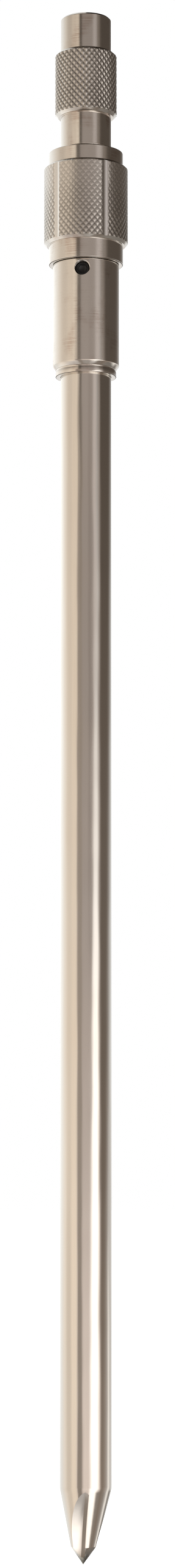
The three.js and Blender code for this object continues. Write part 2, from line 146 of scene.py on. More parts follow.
# Collar
COLLAR_BOTTOM, COLLAR_TOP, GRIP_RADIUS = span("lock_collar")
COLLAR_RADIUS = 11.75
COLLAR_BORE = 9.7
COLLAR_FOOT = COLLAR_BOTTOM - 0.3
FOOT_CHAMFER = 0.2
COLLAR_SHOULDER = 434.2
NOSE_BORE = 6.4
NOSE_CHAMFER = 0.15
NOSE_MOUTH = 0.5
WIPER_BOTTOM, WIPER_TOP, WIPER_RADIUS = span("wiper_ring")
WIPER_HEIGHT = (WIPER_BOTTOM + WIPER_TOP) / 2
WIPER_STEPS = 24
SEAL_GROOVE = 8.2
SEAL_BOTTOM = WIPER_HEIGHT - 1.3
SEAL_TOP = WIPER_HEIGHT + 1.3
GRIP_BOTTOM = 412.2
GRIP_TOP = 437.8
GRIP_CHAMFER = 0.9
GRIP_FLUTE_COUNT = 5
GRIP_FLUTE_DEG = 27.6
GRIP_FLUTE_RADIUS = 3.5
GRIP_FLUTE_DEPTH = 0.27
GRIP_FLUTE_SIDES = 144
GRIP_FLUTE_AT = GRIP_RADIUS - GRIP_FLUTE_DEPTH + GRIP_FLUTE_RADIUS

# Inner stage
INNER_BOTTOM, INNER_TOP, INNER_RADIUS = span("inner_tube")
INNER_BORE = 5.0
HEAD_BOTTOM, HEAD_TOP, BAND_RADIUS = span("stage_head")
NECK_RADIUS = 8.0
NECK_CHAMFER = 0.3
NECK_TOP = 454.1
BAND_TOP = 475.0
BAND_CHAMFER = 1.0
CROWN_CHAMFER = 0.6
HEAD_BORE = 6.05
HEAD_BORE_POINT = INNER_TOP + 1.5
SOCKET_BORE = 4.15
SOCKET_MOUTH = 1.0
SOCKET_FLOOR = 468.5
SOCKET_POINT = SOCKET_FLOOR - 2.0

# Knurls. A blank stands proud of the crests, so that every crest is cut
KNURL_PROUD = 0.06
GRIP_INSIDE = COLLAR_RADIUS + 0.2
BAND_INSIDE = NECK_RADIUS + 0.3
# Shares of a diamond's width, from its edge to its crest and over the crest's rounding
GRIP_CREST = 0.2
BAND_CREST = 0.23
CREST_EASE = 0.04
# Shares of the knurl's depth, from the crest to its shoulder and lost up the grip
SHOULDER_DROP = 0.15
GRIP_FADE = 0.6

# Threads, each a V wound up its axis: the radius at the V's mouth and at its root, half its
# width, its pitch, where it starts, and how many turns it has, each of how many steps
SPIGOT_THREAD = (
    SPIGOT_RADIUS + 0.3, SPIGOT_RADIUS - 0.6, 0.55, 1.5, SLEEVE_SHOULDER + 1.4, 13, 64
)
SCREW_TAP = (SCREW_HOLE - 0.2, SCREW_HOLE + 0.22, 0.36, SCREW_PITCH, SCREW_OUTER - 0.4, 4, 48)
SCREW_THREAD = (
    SCREW_RADIUS + 0.2, SCREW_RADIUS - 0.3, 0.32, SCREW_PITCH, SCREW_INNER - SCREW_PITCH, 4, 48
)
SOCKET_THREAD = (SOCKET_BORE - 0.15, 4.76, 0.4, 1.27, SOCKET_FLOOR + 2.6, 13, 64)

# Rings of painted shade where parts meet, each from a height to a height and outside a radius
LIP_SHADE_RING = (SLEEVE_BOTTOM - 1, SLEEVE_BOTTOM + 0.08, LIP_RADIUS - 0.15)
SEAM_SHADE_RING = (SLEEVE_SHOULDER - 0.05, SPIGOT_TOP, 0)
FOOT_SHADE_RING = (COLLAR_FOOT - 1, COLLAR_FOOT + 0.1, COLLAR_RADIUS - 0.2)


def colour(name, description, *default):
    return FloatVectorProperty(
        name=name, description=description, subtype="COLOR", default=default
    )


def length(name, description, millimetres):
    return FloatProperty(
        name=name,
        description=description,
        default=millimetres * MM,
        min=0.0,
        precision=5,
        unit="LENGTH",
    )


def count(name, description, default):
    return IntProperty(name=name, description=description, default=default, min=6, max=512)


def share(name, description, default):
    return FloatProperty(
        name=name, description=description, subtype="FACTOR", default=default, min=0.0, max=1.0
    )


class SizeSettings(bpy.types.PropertyGroup):
    """Sizes of the detail that the turned pieces carry"""

    sides: count("Sides", "Steps round a turned piece", 192)
    easing: length("Edge rounding", "How far each turned edge is broken", 0.09)
    head_knurl_round: count("Head diamonds round", "Knurl diamonds round the head", 33)
    head_knurl_pitch: length("Head diamond height", "Height of a knurl diamond on the head", 2.05)
    head_knurl_depth: length("Head knurl depth", "Depth of the knurl on the head", 0.20)
    grip_knurl_round: count("Grip diamonds round", "Knurl diamonds round the grip", 45)
    grip_knurl_pitch: length("Grip diamond height", "Height of a knurl diamond on the grip", 2.1)
    grip_knurl_depth: length("Grip knurl depth", "Knurl's depth at the grip's lower end", 0.14)


class FinishSettings(bpy.types.PropertyGroup):
    """Colours and finishes of the stick's materials"""

    steel: colour("Steel", "Stainless steel", 0.66, 0.62, 0.57)
    warm_steel: colour("Handled steel", "Steel where it has been handled", 0.64, 0.58, 0.51)
    bright_steel: colour("Bright steel", "Polished inner tube", 0.74, 0.72, 0.69)
    tarnish: colour("Tarnish", "Old spots on the turned steel", 0.44, 0.34, 0.28)
    # Colour down in the knurl's grooves: partly dirt, partly painted shade
    groove_dirt_and_shade: colour("Knurl dirt", "Steel down in the knurl's grooves", 0.10, 0.085, 0.07)
    # Painted shade in the seams where parts meet
    seam_shade: colour("Grime", "Dirt settled in the seams", 0.12, 0.105, 0.09)
    # Darker colour at the point's end: partly a stain from the ground, partly painted shade where it
    # meets the floor
    earth_stain_and_shade: colour("Earth", "Earth stain at the point", 0.16, 0.135, 0.095)
    black_oxide: colour("Black oxide", "Grub screw", 0.03, 0.03, 0.03)
    worn_oxide: colour("Worn oxide", "Grub screw where it is rubbed", 0.12, 0.11, 0.10)
    acetal: colour("Acetal", "Natural acetal", 0.80, 0.78, 0.73)
    black_acetal: colour("Black acetal", "Foot plug", 0.03, 0.03, 0.03)
    rubber: colour("Rubber", "Wiper ring", 0.02, 0.02, 0.02)
    tube_roughness: share("Tube roughness", "Roughness of the outer tube", 0.13)
    turned_roughness: share("Turned roughness", "Roughness of the turned pieces", 0.16)
    ground_roughness: share("Ground roughness", "Roughness of the point", 0.12)
    milled_roughness: share("Milled roughness", "Roughness of the grip's flutes", 0.17)
    bright_roughness: share("Bright roughness", "Roughness of the inner tube", 0.08)
    grip_roughness: share("Grip roughness", "Roughness of the grip's knurl", 0.33)
    # How much darker the grip's grooves are: dirt and painted shade
    grip_dirt_and_shade: share("Grip dirt", "How dirty the grip's knurl is", 0.32)
    band_roughness: share("Band roughness", "Roughness of the head's knurl", 0.31)
    # How much darker the head's grooves are: dirt and painted shade
    band_dirt_and_shade: share("Band dirt", "How dirty the head's knurl is", 0.42)


class StageSettings(bpy.types.PropertyGroup):
    """Camera and light"""

    camera_place: FloatVectorProperty(
        name="Camera place",
        description="Where the camera stands",
        subtype="TRANSLATION",
        unit="LENGTH",
        default=(0.0005, -1.017, 0.1442),
    )
    camera_tilt: FloatProperty(
        name="Camera tilt",
        description="How far the camera looks up",
        subtype="ANGLE",
        default=math.radians(5.4),
    )
    camera_lens: FloatProperty(
        name="Lens", description="Focal length", unit="CAMERA", default=74.8
    )
    floor_size: FloatProperty(
        name="Floor", description="Side of the floor", unit="LENGTH", default=6.0
    )
    floor_colour: colour("Floor colour", "Pale floor", 0.9, 0.9, 0.9)
    lamp_power: FloatProperty(
        name="Lamp", description="Power of the soft lamp", unit="POWER", default=9.0
    )


class BankStickSettings(bpy.types.PropertyGroup):
    """All settings of the stick"""

    sizes: PointerProperty(type=SizeSettings, name="Sizes", description="Sizes of the detail")
    finishes: PointerProperty(type=FinishSettings, name="Finishes", description="Materials")
    stage: PointerProperty(type=StageSettings, name="Stage", description="Camera and light")


def settings():
    return bpy.context.scene.bank_stick


# Solids


def turn(outline, easing=0.0, sides=None, segments=3):
    """A solid turned about Z from (radius, height) points in millimetres.

    A third value on a point rounds that corner by so much, in place of the common easing.
    """
    mesh = bmesh.new()
    corners = [mesh.verts.new((point[0] * MM, 0, point[1] * MM)) for point in outline]
    pairs = list(zip(corners, corners[1:]))
    if outline[0][0] > 0:
        pairs.append((corners[-1], corners[0]))
    for pair in pairs:
        mesh.edges.new(pair)
    for corner, point in zip(corners, outline):
        rounding = point[2] * MM if len(point) > 2 else easing
        if rounding > 0 and point[0] > 0:
            bmesh.ops.bevel(
                mesh,
                geom=[corner],
                offset=rounding,
                offset_type="OFFSET",
                segments=segments,
                profile=0.5,
                affect="VERTICES",
                material=-1,
            )
    bmesh.ops.spin(
        mesh,
        geom=mesh.verts[:] + mesh.edges[:],
        cent=(0, 0, 0),
        axis=(0, 0, 1),
        angle=FULL_TURN,
        steps=sides or settings().sizes.sides,
        use_merge=True,
    )
    return closed(mesh)


def closed(mesh):
    """Welds the seam and the poles, and turns the faces outward."""
    bmesh.ops.remove_doubles(mesh, verts=mesh.verts[:], dist=WELD)
    bmesh.ops.dissolve_degenerate(mesh, edges=mesh.edges[:], dist=WELD)
    bmesh.ops.recalc_face_normals(mesh, faces=mesh.faces[:])
    return mesh


def moved(mesh, matrix):
    bmesh.ops.transform(mesh, matrix=matrix, verts=mesh.verts[:])
    return mesh


def rod(radius, bottom, top):
    """The outline of a round bar."""
    return [(0, bottom), (radius, bottom), (radius, top), (0, top)]


def helix(mouth, root, half, pitch, bottom, turns, steps):
    """A V wound up the Z axis, to cut a thread with."""
    mesh = bmesh.new()
    low, tip, high = (mouth, -half), (root, 0), (mouth, half)
    profile = (low, tip, high) if root > mouth else (low, high, tip)
    corners = [mesh.verts.new((radius * MM, 0, (bottom + z) * MM)) for radius, z in profile]
    bmesh.ops.spin(
        mesh,
        geom=[mesh.faces.new(corners)],
        cent=(0, 0, 0),
        axis=(0, 0, 1),
        dvec=(0, 0, pitch * MM / steps),
        angle=FULL_TURN * turns,
        steps=steps * turns,
        use_merge=False,
    )
    return closed(mesh)


def turned_by(degrees, axis="Z"):
    return Matrix.Rotation(math.radians(degrees), 4, axis)


def lay_radial():
    """Lays what was turned about Z along the grub screw's line, out of the stick's side."""
    raise_up = Matrix.Translation((0, 0, SCREW_HEIGHT * MM))
    return turned_by(SCREW_DEG) @ raise_up @ turned_by(90, "X")


def drill(inner, outer):
    """A bar for the grub screw's hole, between two distances from the stick's axis."""
    return moved(turn(rod(SCREW_HOLE, inner, outer), sides=DRILL_SIDES), lay_radial())


def ring_of(number, first_deg, outline, stand, **turning):
    """Equal cutters round the axis, each turned from the outline, stood in front, swung round."""
    return [
        moved(turn(outline, **turning), turned_by(first_deg + 360 * i / number) @ stand)
        for i in range(number)
    ]


def cut(body, *cutters):
    """The body less each cutter. All of them are used up."""
    meshes = []
    for solid in (body, *cutters):
        mesh = bpy.data.meshes.new("cutting")
        solid.to_mesh(mesh)
        solid.free()
        meshes.append(mesh)
    objects = [bpy.data.objects.new("cutting", mesh) for mesh in meshes]
    for item in objects:
        bpy.context.scene.collection.objects.link(item)
    for cutter in objects[1:]:
        difference = objects[0].modifiers.new("cut", "BOOLEAN")
        difference.operation = "DIFFERENCE"
        difference.solver = "MANIFOLD"
        difference.object = cutter
    bpy.context.view_layer.update()
    ready = objects[0].evaluated_get(bpy.context.evaluated_depsgraph_get())
    result = bmesh.new()
    result.from_mesh(ready.to_mesh())
    ready.to_mesh_clear()
    for item, mesh in zip(objects, meshes):
        bpy.data.objects.remove(item)
        bpy.data.meshes.remove(mesh)
    if not result.faces:
        raise RuntimeError("a cut left nothing")
    return result


def set_radius(vert, radius):
    """Moves a vertex straight out or in, to a radius in millimetres."""
    flat_out = vert.co.xy.normalized() * radius * MM
    vert.co = (flat_out.x, flat_out.y, vert.co.z)


def knurl(radius, low, high, spare, around, pitch, depth, flat, depth_at=lambda up: 1.0):
    """The ring taken off a plain band to leave diamonds standing, in millimetres.

    It covers low to high and at least spare more. flat is the share of a diamond's width
    between its edge and its worn crest, and depth_at gives the share of the depth at a share
    of the ring's height.
    """
    rows = math.ceil((high - low + spare) / pitch)
    height = pitch * rows
    bottom = (low + high - height) / 2
    mesh = bmesh.new()
    bmesh.ops.create_grid(mesh, x_segments=around, y_segments=rows, size=0.5)
    crossings = mesh.edges.layers.int.new("crossing")
    for edge in mesh.edges:
        edge[crossings] = 1
    bmesh.ops.poke(mesh, faces=mesh.faces[:])
    for vert in mesh.verts:
        turned = FULL_TURN * vert.co.x
        rise = bottom + height * (vert.co.y + 0.5)
        vert.co = (radius * math.sin(turned) * MM, -radius * math.cos(turned) * MM, rise * MM)
    bmesh.ops.remove_doubles(mesh, verts=mesh.verts[:], dist=WELD)
    inner = [edge for edge in mesh.edges if edge[crossings] and not edge.is_boundary]
    bmesh.ops.dissolve_edges(mesh, edges=inner, use_verts=False)
    grooves = set(mesh.verts)
    diamonds = [face for face in mesh.faces if len(face.verts) == 4]
    width = FULL_TURN * radius / around * MM
    bmesh.ops.inset_individual(
        mesh, faces=diamonds, thickness=flat * width, depth=0, use_even_offset=True
    )
    shoulders = set(mesh.verts) - grooves
    bmesh.ops.inset_individual(
        mesh, faces=diamonds, thickness=CREST_EASE * width, depth=0, use_even_offset=True
    )
    for vert in mesh.verts:
        below = depth * depth_at(min(max((vert.co.z / MM - bottom) / height, 0), 1))
        if vert in shoulders:
            below *= SHOULDER_DROP
        elif vert not in grooves:
            below = 0
        set_radius(vert, radius - below)
    rim = [edge for edge in mesh.edges if edge.is_boundary]
    for item in bmesh.ops.extrude_edge_only(mesh, edges=rim)["geom"]:
        if isinstance(item, bmesh.types.BMVert):
            set_radius(item, radius + 2 * OVERRUN)
    bmesh.ops.bridge_loops(mesh, edges=[edge for edge in mesh.edges if edge.is_boundary])
    return closed(mesh)


def knurled_side(face, low, high, radius):
    """Whether a face stands on a knurled side, between two heights and outside a radius."""
    middle = face.calc_center_median()
    inside = (low + FACE_MARGIN) * MM < middle.z < (high - FACE_MARGIN) * MM
    return inside and middle.xy.length >= radius * MM and abs(face.normal.z) <= FLAT_FACE


def place(name, solid, body, node, finishes, finish_of=None, sharp_deg=SHARP_DEG):
    """Makes the finished piece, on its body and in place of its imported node."""
    if finish_of:
        for face in solid.faces:
            face.material_index = finish_of(face)
    data = bpy.data.meshes.new(name)
    solid.to_mesh(data)
    solid.free()
    data.shade_smooth()
    data.set_sharp_from_angle(angle=math.radians(sharp_deg))
    for finish in finishes:
        data.materials.append(finish)
    item = bpy.data.objects.new(name, data)
    bpy.context.scene.collection.objects.link(item)
    normals = item.modifiers.new("weighted normals", "WEIGHTED_NORMAL")
    normals.keep_sharp = True
    normals.weight = FACE_WEIGHT
    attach(item, body)
    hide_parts(node)


# Finishes


class Value:
    """A socket of a node tree. Its operators add the Math nodes that work them out."""

    def __init__(self, net, socket):
        self.net, self.socket = net, socket

    def __add__(self, other):
        return self.net.math("ADD", self, other)

    __radd__ = __add__

    def __sub__(self, other):
        return self.net.math("SUBTRACT", self, other)

    def __rsub__(self, other):
        return self.net.math("SUBTRACT", other, self)

    def __mul__(self, other):
        return self.net.math("MULTIPLY", self, other)

    __rmul__ = __mul__

    def __truediv__(self, other):
        return self.net.math("DIVIDE", self, other)


class Net:
    """Adds nodes to a tree and gives back their sockets as values."""

    def __init__(self, tree):
        self.tree = tree

    def node(self, kind, setup=None, **inputs):
        """One node: setup holds its settings, inputs its sockets by name, with _ for a space."""
        made = self.tree.nodes.new(kind)
        for name, setting in (setup or {}).items():
            if name == "stops":
                self.stops(made.color_ramp.elements, setting)
            else:
                setattr(made, name, setting)
        for name, given in inputs.items():
            self.feed(made.inputs[name.replace("_", " ")], given)
        return made

    def stops(self, elements, stops):
        while len(elements) > 1:
            elements.remove(elements[-1])
        for i, (position, tone) in enumerate(stops):
            element = elements.new(position) if i else elements[0]
            element.position = position
            element.color = (*tone, 1)

    def feed(self, socket, given):
        if isinstance(given, Value):
            self.tree.links.new(given.socket, socket)
        else:
            socket.default_value = given

    def math(self, operation, *parts):
        made = self.node("ShaderNodeMath", {"operation": operation})
        for socket, part in zip(made.inputs, parts):
            self.feed(socket, part)
        return Value(self, made.outputs[0])

    def ease(self, given, start, end):
        """0 before start, 1 after end, smooth between them."""
        made = self.node(
            "ShaderNodeMapRange",
            {"interpolation_type": "SMOOTHSTEP"},
            Value=given,
            From_Min=start,
            From_Max=end,
        )
        return Value(self, made.outputs["Result"])

    def blend(self, factor, first, second):
        """A colour between two colours."""
        made = self.node("ShaderNodeMix", {"data_type": "RGBA"})
        self.feed(made.inputs[0], factor)
        for socket, tone in ((made.inputs[6], first), (made.inputs[7], second)):
            self.feed(socket, tone if isinstance(tone, Value) else (*tone, 1))
        return Value(self, made.outputs[2])

    def place(self, scale=(1, 1, 1)):
        """Object coordinates, stretched by scale."""
        at = self.node("ShaderNodeTexCoord")
        mapped = self.node(
            "ShaderNodeMapping", Vector=Value(self, at.outputs["Object"]), Scale=scale
        )
        return Value(self, mapped.outputs[0])

    def noise(self, scale, stretch=(1, 1, 1), detail=2.0):
        made = self.node(
            "ShaderNodeTexNoise", Vector=self.place(stretch), Scale=scale, Detail=detail
        )
        return Value(self, made.outputs[0])

    def parts(self, vector):
        made = self.node("ShaderNodeSeparateXYZ", Vector=vector)
        return [Value(self, socket) for socket in made.outputs]

    def from_axis(self):
        """The distance from the stick's axis, and the height up it."""
        across, along, height = self.parts(self.place())
        return self.math("SQRT", across * across + along * along), height

    def bump(self, height, strength, distance):
        made = self.node(
            "ShaderNodeBump", Height=height, Strength=strength, Distance=distance
        )
        return Value(self, made.outputs[0])

    def light_path(self, *rays):
        """Whether the ray that looks is one of the named kinds, a value for each."""
        path = self.node("ShaderNodeLightPath")
        return [Value(self, path.outputs[f"Is {ray} Ray"]) for ray in rays]


def new_finish(name):
    """A material, its net and its shader node."""
    finish = bpy.data.materials.new(name)
    finish.use_nodes = True
    return finish, Net(finish.node_tree), finish.node_tree.nodes["Principled BSDF"]


def dress(net, shader, metallic, base, roughness, normal):
    shader.inputs["Metallic"].default_value = metallic
    net.feed(shader.inputs["Base Color"], base)
    net.feed(shader.inputs["Roughness"], roughness)
    net.feed(shader.inputs["Normal"], normal)


# How fine each pattern of wear is
SMEARS = 70.0
PATCHES = 17.0
SPOTS = 150.0
WAVER = 95.0
KNURL_PATCHES = 60.0
GRIT = 2600.0
MOTTLE = 220.0
RUBBED = 900.0
OXIDE_CLOUDS = 3000.0
OXIDE_GRAIN = 4000.0

# How fine the tool marks are along x, y and z: drawn ones run up the stick, turned ones round
DRAWN = (3600, 3600, 45)
TURNED = (70, 70, 5200)
MILLED = (500, 500, 9000)
GROUND = (900, 900, 900)
MOULDED = (2200, 2200, 2200)


def steel_finish(
    name, steel, handled, roughness, grain, grain_depth, seam_shade=(), stain_and_shade_height=0, tarnish=0, waver=0
):
    """Worked stainless steel.

    grain_depth is in millimetres. seam_shade lists rings of painted shade where parts meet,
    each from a height to a height and outside a radius, and stain_and_shade_height is the
    height below which the point gets darker, partly a stain from the ground and partly painted
    shade where it meets the floor. tarnish is how strongly old spots show, and waver how far a
    drawn wall strays from true, in grain depths.
    """
    look = settings().finishes
    finish, net, shader = new_finish(name)
    marks = net.noise(1.0, grain, detail=3.0)
    smears = net.noise(SMEARS, (1, 1, 0.3), detail=5.0)
    patches = net.noise(PATCHES, (1, 1, 0.4), detail=2.0)
    warmth = net.ease(patches, 0.38, 0.66) * 0.6 + net.ease(smears, 0.4, 0.7) * 0.4
    base = net.blend(warmth * (0.7 + (marks - 0.5) * 0.9), steel, handled)
    if tarnish:
        spots = net.ease(net.noise(SPOTS, (1, 1, 0.6), detail=6.0), 0.5, 0.72)
        base = net.blend(spots * net.ease(marks, 0.3, 0.6) * tarnish, base, look.tarnish)
    worn = roughness + (marks - 0.5) * 0.12 + net.ease(smears, 0.5, 0.8) * 0.06
    distance, height = net.from_axis()
    # Painted shade in each seam ring where parts meet: a darker colour, a little rougher
    for low, high, inner in seam_shade:
        darkened = net.ease(height, (low - 0.03) * MM, low * MM) - net.ease(
            height, high * MM, (high + 0.05) * MM
        )
        if inner:
            darkened = darkened * net.ease(distance, (inner - 0.1) * MM, inner * MM)
        base = net.blend(darkened, base, look.seam_shade)
        worn = worn + darkened * 0.35
    # The point darker towards its end: partly a stain from the ground, partly painted shade at the
    # floor
    if stain_and_shade_height:
        stain_and_shade_mask = (1 - net.ease(height, 0.15 * stain_and_shade_height * MM, 1.1 * stain_and_shade_height * MM)) * (0.6 + 0.5 * smears)
        base = net.blend(stain_and_shade_mask, base, look.earth_stain_and_shade)
        worn = worn + stain_and_shade_mask * 0.2
    if waver:
        marks = marks + net.noise(WAVER, (1, 1, 0.2), detail=2.0) * waver
    dress(net, shader, 1.0, base, worn, net.bump(marks, 0.35, grain_depth * MM))
    return finish


def knurled_finish(name, roughness, crest, depth, dirt_and_shade_share):
    """Steel under a knurl: dull and darker in the grooves, from dirt and painted shade, worn on the
    crests.
    """
    look = settings().finishes
    finish, net, shader = new_finish(name)
    distance, _ = net.from_axis()
    low = 1 - net.ease(distance, (crest - 0.7 * depth) * MM, (crest - 0.1 * depth) * MM)
    patches = net.noise(KNURL_PATCHES, detail=3.0)
    grit = net.noise(GRIT, detail=2.0)
    # Darker grooves: partly dirt, partly painted shade
    dirt_and_shade_mask = low * (dirt_and_shade_share + 0.25 * net.ease(patches, 0.35, 0.65))
    base = net.blend(dirt_and_shade_mask, look.steel, look.groove_dirt_and_shade)
    worn = roughness + low * 0.1 + (grit - 0.5) * 0.14
    dress(net, shader, 1.0, base, worn, net.bump(grit, 0.35, 0.02 * MM))
    return finish


def moulded_finish(name, plain, roughness, grain):
    """A dull piece of one colour with fine marks."""
    finish, net, shader = new_finish(name)
    marks = net.noise(1.0, grain, detail=3.0)
    shade = net.ease(net.noise(MOTTLE), 0.3, 0.7)
    base = net.blend(shade, plain, [part + 0.02 for part in plain])
    worn = roughness + (marks - 0.5) * 0.12
    dress(net, shader, 0.0, base, worn, net.bump(marks, 0.4, 0.01 * MM))
    return finish


def blackened_finish():
    """Black oxide, rubbed grey in places."""
    look = settings().finishes
    finish, net, shader = new_finish("black_oxide")
    rubbed = net.ease(net.noise(RUBBED, detail=4.0), 0.55, 0.8)
    base = net.blend(rubbed * 0.5, look.black_oxide, look.worn_oxide)
    worn = 0.42 + (net.noise(OXIDE_CLOUDS) - 0.5) * 0.2
    dress(net, shader, 0.6, base, worn, net.bump(net.noise(OXIDE_GRAIN), 0.4, 0.02 * MM))
    return finish


def drawn_steel():
    look = settings().finishes
    return steel_finish(
        "drawn_steel", look.steel, look.warm_steel, look.tube_roughness, DRAWN, 0.012, waver=60
    )


def turned_steel(name, seam_shade=()):
    look = settings().finishes
    return steel_finish(
        name, look.steel, look.warm_steel, look.turned_roughness, TURNED, 0.010, seam_shade,
        tarnish=0.7,
    )


def ground_steel():
    look = settings().finishes
    return steel_finish(
        "ground_steel", look.steel, look.warm_steel, look.ground_roughness, GROUND, 0.008,
        # The point's end gets darker: a stain from the ground and painted shade at the floor
        stain_and_shade_height=POINT_CONE_HEIGHT,
    )


def milled_steel():
    look = settings().finishes
    return steel_finish(
        "milled_steel", look.bright_steel, look.bright_steel, look.milled_roughness, MILLED, 0.015
    )


def bright_steel():
    look = settings().finishes
    return steel_finish(
        "bright_steel", look.bright_steel, look.bright_steel, look.bright_roughness, DRAWN, 0.006
    )


# Pieces


class BANKSTICK_OT_ground_point(bpy.types.Operator):
    """Builds the fluted ground point"""

    bl_idname = "bankstick.ground_point"
    bl_label = "Ground point"

    def execute(self, context):
        outline = [
            (0, 0), (POINT_CONE_RADIUS, POINT_CONE_HEIGHT, CLEAN),
            (TUBE_RADIUS, TUBE_BOTTOM - POINT_SHOULDER, POINT_SHOULDER_ROUND),
            (TUBE_RADIUS, TUBE_BOTTOM, SHARP), (POINT_SPIGOT, TUBE_BOTTOM, SHARP),
            (POINT_SPIGOT, POINT_TOP - POINT_CHAMFER), (POINT_SPIGOT - POINT_CHAMFER, POINT_TOP),
            (0, POINT_TOP),
        ]
        crown = (WHEEL_WIDTH - WHEEL_FLAT) * math.tan(math.radians(WHEEL_CROWN_DEG))
        bevel = WHEEL_BEVEL * math.tan(math.radians(WHEEL_BEVEL_DEG))
        hollow = WHEEL_WIDTH * math.tan(math.radians(WHEEL_HOLLOW_DEG))
        hub = WHEEL_RADIUS - WHEEL_WIDTH
        wheel = [
            (hub, -WHEEL_WIDTH), (WHEEL_RADIUS - crown, -WHEEL_WIDTH),
            (WHEEL_RADIUS, -WHEEL_FLAT, WHEEL_CROWN_ROUND), (WHEEL_RADIUS, 0),
            (WHEEL_RADIUS - bevel, WHEEL_BEVEL), (hub, WHEEL_BEVEL - hollow),
        ]
        stand = Matrix.Translation(
            Vector((-FLUTE_OFFSET, -FLUTE_CORE - WHEEL_RADIUS, FLUTE_LOWEST)) * MM
        ) @ turned_by(90, "Y")
        wheels = ring_of(
            FLUTE_COUNT, FLUTE_TURN_DEG, wheel, stand, sides=WHEEL_SIDES,
            segments=WHEEL_CROWN_STEPS,
        )
        point = cut(turn(outline, settings().sizes.easing), *wheels)
        lean = Matrix.Identity(4)
        lean[0][2] = POINT_RUNOUT / TUBE_BOTTOM
        lean[0][3] = -POINT_RUNOUT * MM
        below = [vert for vert in point.verts if vert.co.z < TUBE_BOTTOM * MM - WELD]
        bmesh.ops.transform(point, matrix=lean, verts=below)
        place(
            "ground_point", point, "outer_stage", "drive_tip", [ground_steel()],
            sharp_deg=FLUTE_SHARP_DEG,
        )
        return {"FINISHED"}


class BANKSTICK_OT_outer_tube(bpy.types.Operator):
    """Builds the outer tube"""

    bl_idname = "bankstick.outer_tube"
    bl_label = "Outer tube"

    def execute(self, context):
        tube = turn([
            (TUBE_BORE, TUBE_BOTTOM, SHARP), (TUBE_RADIUS, TUBE_BOTTOM, SHARP),
            (TUBE_RADIUS, TUBE_TOP, SOFT), (TUBE_BORE, TUBE_TOP, SOFT),
        ])
        dimple = drill(TUBE_RADIUS - SCREW_DIMPLE, TUBE_RADIUS + 2 * OVERRUN)
        place(
            "tube_wall", cut(tube, dimple), "outer_stage", "outer_tube",
            [drawn_steel()],
        )
        return {"FINISHED"}


class BANKSTICK_OT_lock_sleeve(bpy.types.Operator):
    """Builds the sleeve with its threaded spigot and its screw hole"""

    bl_idname = "bankstick.lock_sleeve"
    bl_label = "Lock sleeve"

    def execute(self, context):
        outline = [
            (SLEEVE_BORE, SLEEVE_BOTTOM, SLEEVE_BORE_ROUND), (LIP_RADIUS, SLEEVE_BOTTOM, BROKEN),
            (LIP_RADIUS, GROOVE_BOTTOM), (GROOVE_RADIUS, GROOVE_BOTTOM),
            (GROOVE_RADIUS, GROOVE_TOP), (LIP_RADIUS, GROOVE_TOP),
            (SLEEVE_RADIUS, SLEEVE_CONE_TOP, SOFT), (SLEEVE_RADIUS, SLEEVE_SHOULDER, CLEAN),
            (SPIGOT_RADIUS, SLEEVE_SHOULDER), (SPIGOT_RADIUS, SPIGOT_TOP - SPIGOT_CHAMFER),
            (SPIGOT_RADIUS - SPIGOT_CHAMFER, SPIGOT_TOP), (SEAT_RIM, SPIGOT_TOP),
            (SEAT_RADIUS, SEAT_BOTTOM), (SEAT_RADIUS, BUSH_ROOM, SHARP),
            (BUSH_SEAT, BUSH_ROOM, SHARP), (BUSH_SEAT, TUBE_TOP, SHARP),
            (SLEEVE_BORE, TUBE_TOP, SHARP),
        ]
        sleeve = cut(
            turn(outline, settings().sizes.easing),
            drill(TUBE_RADIUS - 2 * OVERRUN, SLEEVE_RADIUS + 2 * OVERRUN),
            moved(helix(*SCREW_TAP), lay_radial()),
            helix(*SPIGOT_THREAD),
        )
        place(
            "sleeve_body", sleeve, "outer_stage", "lock_sleeve",
            # Painted shade at the lip's underside and at the seam under the collar
            [turned_steel("turned_steel", [LIP_SHADE_RING, SEAM_SHADE_RING])],
        )
        return {"FINISHED"}


class BANKSTICK_OT_grub_screw(bpy.types.Operator):
    """Builds the grub screw in the sleeve's front"""

    bl_idname = "bankstick.grub_screw"
    bl_label = "Grub screw"

    def execute(self, context):
        outline = [
            (0, SCREW_INNER), (SCREW_RADIUS - SCREW_POINT, SCREW_INNER),
            (SCREW_RADIUS, SCREW_INNER + SCREW_POINT),
            (SCREW_RADIUS, SCREW_OUTER - SCREW_CHAMFER),
            (SCREW_RADIUS - SCREW_CHAMFER, SCREW_OUTER), (0, SCREW_OUTER),
        ]
        hexagon = turn([
            (0, HEX_POINT), (HEX_FLOOR_RADIUS, HEX_FLOOR), (HEX_RADIUS, HEX_WALL_BOTTOM),
            (HEX_RADIUS, SCREW_OUTER + OVERRUN), (0, SCREW_OUTER + OVERRUN),
        ], sides=6)
        mouth = turn([
            (0, MOUTH_BOTTOM), (HEX_RADIUS - 0.12, MOUTH_BOTTOM),
            (HEX_RADIUS + 0.18 + OVERRUN, SCREW_OUTER + OVERRUN), (0, SCREW_OUTER + OVERRUN),
        ], sides=MOUTH_SIDES)
        blank = turn(outline, KEEN * MM, sides=SCREW_SIDES)
        screw = cut(blank, helix(*SCREW_THREAD), hexagon, mouth)
        place(
            "grub_screw_body", moved(screw, lay_radial()), "outer_stage", "sleeve_grub_screw",
            [blackened_finish()],
        )
        return {"FINISHED"}


